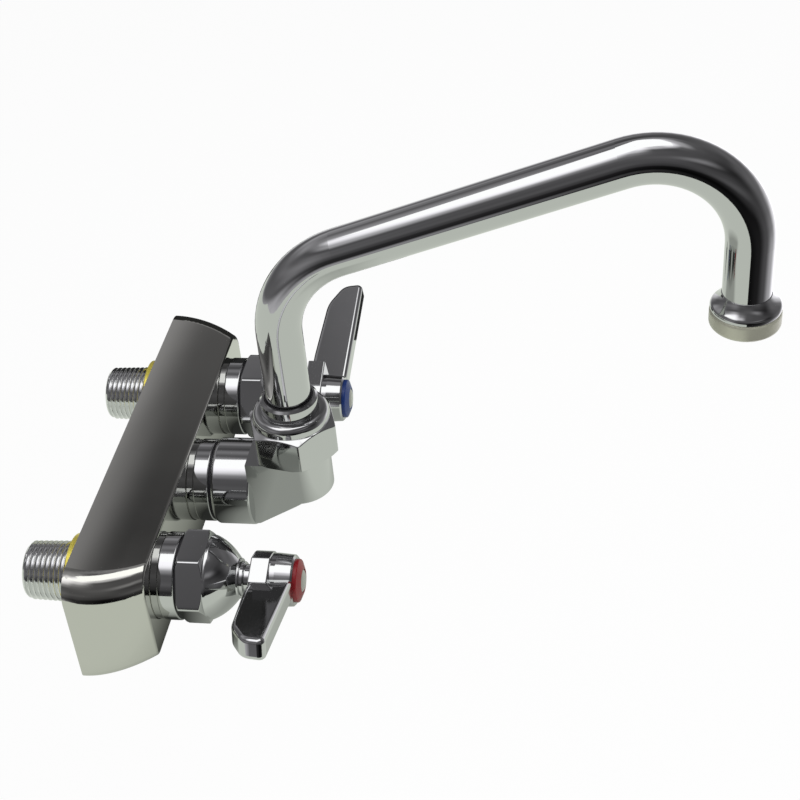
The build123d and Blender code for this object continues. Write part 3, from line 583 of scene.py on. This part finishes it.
# %% Turning and dressing
MM = 0.001
EASE_POINTS = 9                              # points on each eased corner
FLAT_POWER, CUT_SOFT = 60, 0.05              # how sharp a hexagon's corners and its cut edges are
SIDES = {"Y": (0, 2, 1), "Z": (0, 1, 2)}     # two directions across the axis, then the one along it
BODY_OF = {name: body for body, names in frame["record"]["behaviour"]["bodies"].items()
           for name in names}


def eased(corners, step=None, flat=0):
    """Closed line through (radius, height, ease) corners in mm. Each corner is cut back by its ease and
    bridged by (1-t)^2 A + 2t(1-t) P + t^2 B; runs longer than the step are divided evenly, five times
    more coarsely where they stay inside the radius of the flats."""
    place, ease = np.array(corners)[:, :2], np.array(corners)[:, 2]
    rows = []
    for k, p in enumerate(place):
        away = [place[k - 1] - p, place[(k + 1) % len(place)] - p]
        a, b = [p + w * min(ease[k] / np.linalg.norm(w), 0.9) for w in away]
        t = np.linspace(0, 1, EASE_POINTS if ease[k] > 0 else 1)[:, None]
        rows.append((1 - t) ** 2 * a + 2 * t * (1 - t) * p + t ** 2 * b)
    line = []
    for k, row in enumerate(rows):
        line.append(row)
        gap = rows[(k + 1) % len(rows)][0] - row[-1]
        outside = max(row[-1][0], rows[(k + 1) % len(rows)][0][0]) > flat
        cuts = int(np.linalg.norm(gap) / step / (1 if outside else 5)) if step else 0
        line.append(row[-1] + gap * (np.arange(1, cuts + 1) / (cuts + 1))[:, None])
    return np.concatenate(line)


def half_width(name):
    """Half of a solid's box across X, in millimetres."""
    low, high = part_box(name)
    return (high[0] - low[0]) / 2 / MM


def hexagon(turn, across, first):
    """Distance to the nearest of six flats: half the width over the high-power mean of the cosines to
    them, which eases the six corners a little."""
    facing = np.cos(turn[:, None] - np.radians(first + 60 * np.arange(6)))
    return across / 2 / (np.clip(facing, 0, None) ** FLAT_POWER).sum(1) ** (1 / FLAT_POWER)


def turned(name, corners, origin, axis="Y", way=-1, cols=192, step=None, flats=None):
    """Profile carried round an axis through the origin; heights grow along it in the given way. With
    flats, the radius is the soft minimum -w log(e^(-a/w) + e^(-b/w)) of blank and hexagon."""
    line = eased(corners, step, flats[0] / 2 if flats else 0)
    turn = np.linspace(0, 2 * np.pi, cols, endpoint=False)
    radius = np.repeat(line[:, :1], cols, axis=1)
    if flats:
        limit = hexagon(turn, *flats)[None, :]
        radius = -CUT_SOFT * np.logaddexp(-radius / CUT_SOFT, -limit / CUT_SOFT)
    one, two, along = SIDES[axis]
    grid = np.zeros((*radius.shape, 3)) + np.asarray(origin)
    grid[..., one] += radius * np.cos(turn) * MM
    grid[..., two] += radius * np.sin(turn) * MM
    grid[..., along] += way * line[:, 1:2] * MM
    return skin(name, grid)


def stand_for(piece, node, material):
    """The piece takes the place of a solid: its body and a finish."""
    piece.data.materials.append(material)
    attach(piece, BODY_OF[node])
    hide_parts(node)


# %% [markdown]
# The bonnet is a hexagon with a domed nose. A loft could join the two, but the real one is hexagon bar
# turned on a lathe, and so is this. Its heights are measured from the seal towards the handle. Behind
# the seal its threaded shank goes into the body, and it is bored for the cartridge.

# %% Bonnets
HEX_ACROSS = (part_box("hot_bonnet")[1][2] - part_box("hot_bonnet")[0][2]) / MM
HEX_CORNER = HEX_ACROSS / math.sqrt(3)
HEX_TURN, HEX_COLS, HEX_STEP = 30, 420, 0.22
PLAIN_R, DOME_FOOT, DOME_TOP, TIP_R, COLLAR_R = 12.0, (14.4, 9.7), 7.3, 6.9, 5.9
for side in ("hot", "cold"):
    low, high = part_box(side + "_bonnet")
    foot_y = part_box(side + "_seal")[0][1]
    back, tip = (foot_y - high[1]) / MM, (foot_y - low[1]) / MM
    bore = half_width(side + "_housing")
    shank = [(bore, back, 0.2), (PLAIN_R, back, 0.2), (PLAIN_R, 0, 0)]
    blank = [(HEX_CORNER - 0.9, 0, 0.2), (HEX_CORNER + 0.2, 0.9, 0.3), (HEX_CORNER + 0.2, 7.6, 0.5),
             (HEX_CORNER - 1.7, 8.8, 0.3), (14.5, 8.9, 0.2)]
    dome = [(*DOME_FOOT, 0.3), (12.4, 14.2, 5.0), (DOME_TOP, tip - 0.9, 0.4), (TIP_R, tip - 0.6, 0.2),
            (TIP_R, tip, 0.2)]
    inside = [(COLLAR_R, tip, 0.15), (COLLAR_R, 13.2, 0), (bore, 13.2, 0)]
    piece = turned(side + "_bonnet_skin", shank + blank + dome + inside, (VALVE_X[side], foot_y, 0),
                   cols=HEX_COLS, step=HEX_STEP, flats=(HEX_ACROSS, HEX_TURN))
    stand_for(piece, side + "_bonnet", cast_chrome)
print("bonnets", len(piece.data.polygons), "faces each, across flats", round(HEX_ACROSS, 2))

# %% [markdown]
# The swivel nut is the same bar, turned to its own angle, and made by the same function. It is bevelled
# under its corners and has a rounded crown, and the gland stands up through it.

# %% Swivel nut
NUT_TURN, NECK_R = 49, 11.3
low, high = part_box("swivel_nut")
gland_r = half_width("gland")
tall, lip = (high[2] - low[2]) / MM, (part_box("gland")[0][2] - low[2]) / MM - 0.7
profile = [(NECK_R, 0, 0.2), (HEX_CORNER - 1.4, 0, 0.2), (HEX_CORNER + 0.2, 1.0, 0.3),
           (HEX_CORNER + 0.2, tall - 5.9, 0.5), (14.1, tall - 4.3, 0.15), (13.8, tall - 4.2, 0.1),
           (13.6, tall - 0.5, 2.6), (gland_r + 1.4, tall, 0.6), (gland_r, tall, 0.15),
           (gland_r, lip, 0), (NECK_R, lip, 0)]
stand_for(turned("swivel_nut_skin", profile, (RISER[0], RISER[1], low[2]), "Z", 1, HEX_COLS, HEX_STEP,
                 (HEX_ACROSS, NUT_TURN)), "swivel_nut", cast_chrome)
print("swivel nut", round(tall, 2), "mm tall")

# %% [markdown]
# The outlet ends in a flare, which is soldered to the tube and turned with it, and in a round satin nut
# that is screwed up over it and holds the aerator. Both are plain turnings, and a wide ease at one
# corner gives the flare its hollow waist.

# %% Flare and outlet nut
TUBE_R, FLARE_FOOT_R, FLARE_R = 8.0, 10.2, 11.9
low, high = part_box("spout_flare")
nut_low, nut_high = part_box("tip_nut")
rim = (nut_high[2] - low[2]) / MM
tall = (high[2] - low[2]) / MM
profile = [(TUBE_R, 0, 0), (FLARE_FOOT_R, 0, 0), (FLARE_FOOT_R, rim, 0), (FLARE_R - 0.5, rim, 0.1),
           (FLARE_R, rim + 1.5, 1.3), (9.0, rim + 3.9, 2.6), (TUBE_R + 0.15, tall, 0.15),
           (TUBE_R, tall, 0)]
stand_for(turned("spout_flare_skin", profile, (OUTLET[0], OUTLET[1], low[2]), "Z", 1), "spout_flare",
          turned_chrome)
tall = (nut_high[2] - nut_low[2]) / MM
wide = half_width("tip_nut")
profile = [(wide - 1.55, tall, 0), (wide - 1.55, 0.6, 0), (wide - 2.95, 0.6, 0.1),
           (wide - 2.95, 0, 0.15), (wide - 1.0, 0, 0.4), (wide, 1.1, 0.6), (wide, tall - 0.6, 0.5),
           (wide - 0.6, tall, 0.3)]
stand_for(turned("tip_nut_skin", profile, (OUTLET[0], OUTLET[1], nut_low[2]), "Z", 1), "tip_nut",
          satin_chrome)
print("flare and outlet nut at", OUTLET.round(4), "nut", round(2 * wide, 2), "mm wide")

# %% [markdown]
# The inlet threads are real helices, fourteen turns to the inch, cut on a slight taper. The Screw
# modifier could sweep a tooth, but its turns would neither narrow nor fade out at the end. Here the
# phase at a point is its height over the pitch less its turn over a full circle, and the tooth is a
# clipped wave with eased crests.

# %% Inlet shanks
PITCH, TOOTH, TAPER = 25.4 / 14, 1.15, 1 / 32
ROWS_A_TURN, SHANK_COLS = 16, 160
BORE_R, PILOT_R = 7.6, 10.4
CREST_WIDE, FLANK_WIDE = 0.06, 0.88          # shares of half a pitch
LEAD_IN, LEAD_SLOPE = 1.6, 0.75              # the last turns run out to a smaller end


def thread_radius(line, turn, crest, ring_y):
    """Radius on the cut rows: the least of the blank's radius and the crest's radius less the tooth's
    depth there, but never under the root. The flank eases by 3t^2 - 2t^3 from crest to root."""
    phase = (line[:, 1:2] / PITCH - turn / (2 * np.pi)) % 1
    rise = np.clip((np.abs(2 * phase - 1) - CREST_WIDE) / FLANK_WIDE, 0, 1)
    depth = TOOTH * (1 - rise * rise * (3 - 2 * rise))
    taper = TAPER * (line[:, 1:2] - ring_y)
    return np.minimum(line[:, :1], np.maximum(crest - TOOTH - taper, crest - taper - depth))


for side in ("hot", "cold"):
    low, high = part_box(side + "_shank")
    end, ring_y = high[1] / MM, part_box(side + "_seat_ring")[1][1] / MM
    crest = half_width(side + "_shank")
    cut_rows = np.arange(ring_y, end, PITCH / ROWS_A_TURN)
    blank = np.minimum(crest - TAPER * (cut_rows - ring_y),
                       crest - 0.2 - LEAD_SLOPE * (cut_rows - end + LEAD_IN))
    line = np.concatenate([[(BORE_R, low[1] / MM), (PILOT_R, low[1] / MM), (PILOT_R, ring_y)],
                           np.column_stack([blank, cut_rows]),
                           [(blank[-1] - 0.3, end), (BORE_R + 0.3, end), (BORE_R, end - 0.3)]])
    turn = np.linspace(0, 2 * np.pi, SHANK_COLS, endpoint=False)
    cut = (np.arange(len(line)) > 2) & (np.arange(len(line)) < len(line) - 2)
    radius = np.where(cut[:, None], thread_radius(line, turn, crest, ring_y), line[:, :1])
    grid = np.stack([radius * np.cos(turn), 0 * radius + line[:, 1:2], radius * np.sin(turn)], -1) * MM
    piece = skin(side + "_shank_skin", grid + [middle(side + "_shank")[0], 0, 0], crisp=35)
    stand_for(piece, side + "_shank", thread_chrome)
print("shanks from", round(low[1], 4), "to", round(high[1], 4), "with", len(cut_rows), "rows of thread")

# %% [markdown]
# The colour index is a bevelled ring let into the hub, and a low clear button fills it. They are small
# but bright, and are turned like the nuts so that their rims catch the light in one clean line.

# %% Index rings and buttons
POLE_R = 0.02               # the button's middle closes to a pinhole
for side, colour in (("hot", red_plastic), ("cold", blue_plastic)):
    low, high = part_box(side + "_index")
    deep, wide = (high[1] - low[1]) / MM, half_width(side + "_index")
    inner = half_width(side + "_button")
    origin = (VALVE_X[side], high[1], 0)
    profile = [(inner, 0, 0), (wide, 0, 0), (wide, deep - 1.3, 0.4), (inner + 0.3, deep, 0.3),
               (inner, deep - 0.1, 0.05)]
    stand_for(turned(side + "_index_skin", profile, origin), side + "_index", colour)
    low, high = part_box(side + "_button")
    deep = (high[1] - low[1]) / MM
    profile = [(POLE_R, 0, 0), (inner, 0, 0), (inner, deep - 0.9, 0.4), (inner * 0.7, deep - 0.12, 1.2),
               (POLE_R, deep, 0.01)]
    stand_for(turned(side + "_button_skin", profile, (VALVE_X[side], high[1], 0)), side + "_button",
              clear_plastic)
print("index rings and buttons,", round(2 * wide, 2), "mm wide")

# %% [markdown]
# ## Size and finish
# The box of the dressed model is printed, beside the box of the solids printed at the start.

# %% Sizes and finish
low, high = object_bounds()
print("visual box", [round(v, 4) for v in (*low, *high)])
